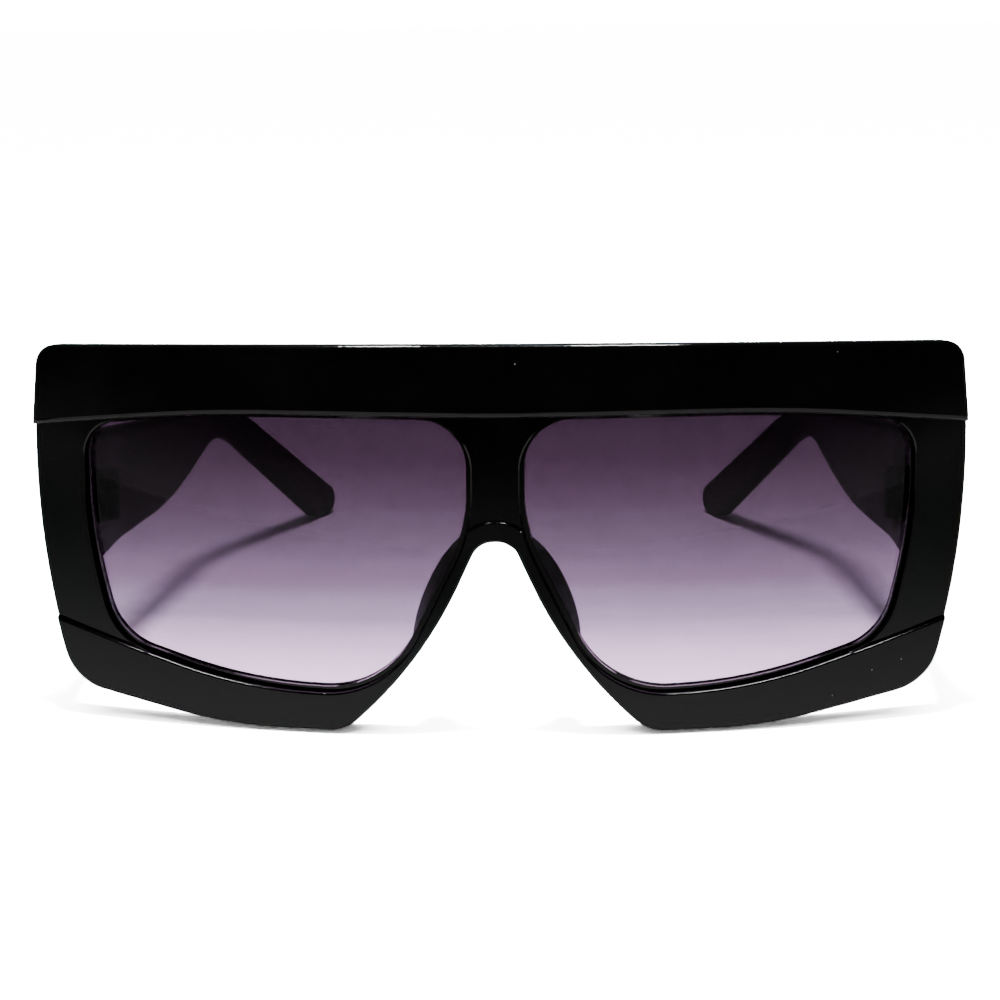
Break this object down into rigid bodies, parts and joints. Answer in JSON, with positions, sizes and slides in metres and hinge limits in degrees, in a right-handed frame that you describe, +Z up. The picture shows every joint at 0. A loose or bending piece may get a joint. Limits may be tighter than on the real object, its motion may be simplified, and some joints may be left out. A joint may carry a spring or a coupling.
{
  "type": "sunglasses",
  "caption": "Flat top sunglasses: a wide moulded front with a raised bar and lower wings, tinted lenses, and two folding temples on screwed metal hinges",
  "frame": {"origin": "middle of the bounding box on the ground that the open sunglasses stand on, by the front's lower edge and both temple tips", "axes": "+X to the wearer's left, +Y from the front towards the temple tips, +Z up; the front leans back by 7.6 degrees as the glasses stand"},
  "size_m": [0.149, 0.1448, 0.0607],
  "materials": {
    "black_moulding": "polished black injection moulding",
    "black_temple": "polished black injection moulding",
    "tinted_lens": "polished tinted polycarbonate, dark at the top and pale at the bottom",
    "hinge_steel": "black-coated steel leaf",
    "screw_steel": "black-coated turned steel screw"
  },
  "bodies": {
    "root": {"front_frame": "black_moulding", "lens_left": "tinted_lens", "front_hinge_leaf_left": "hinge_steel", "hinge_screw_left": "screw_steel", "front_leaf_screws_left": "screw_steel", "lens_right": "tinted_lens", "front_hinge_leaf_right": "hinge_steel", "hinge_screw_right": "screw_steel", "front_leaf_screws_right": "screw_steel"},
    "temple_arm_left": {"temple_left": "black_temple", "temple_hinge_leaf_left": "hinge_steel", "temple_leaf_screws_left": "screw_steel"},
    "temple_arm_right": {"temple_right": "black_temple", "temple_hinge_leaf_right": "hinge_steel", "temple_leaf_screws_right": "screw_steel"}
  },
  "joints": [
    {"name": "left_hinge", "type": "hinge", "parent": "root", "child": "temple_arm_left", "pos_m": [-0.0642, -0.0463, 0.03243], "axis": [0, -0.1317, -0.9913], "range_deg": [0, 83]},
    {"name": "right_hinge", "type": "hinge", "parent": "root", "child": "temple_arm_right", "pos_m": [0.0642, -0.0463, 0.03243], "axis": [0, 0.1317, 0.9913], "range_deg": [0, 74]}
  ]
}
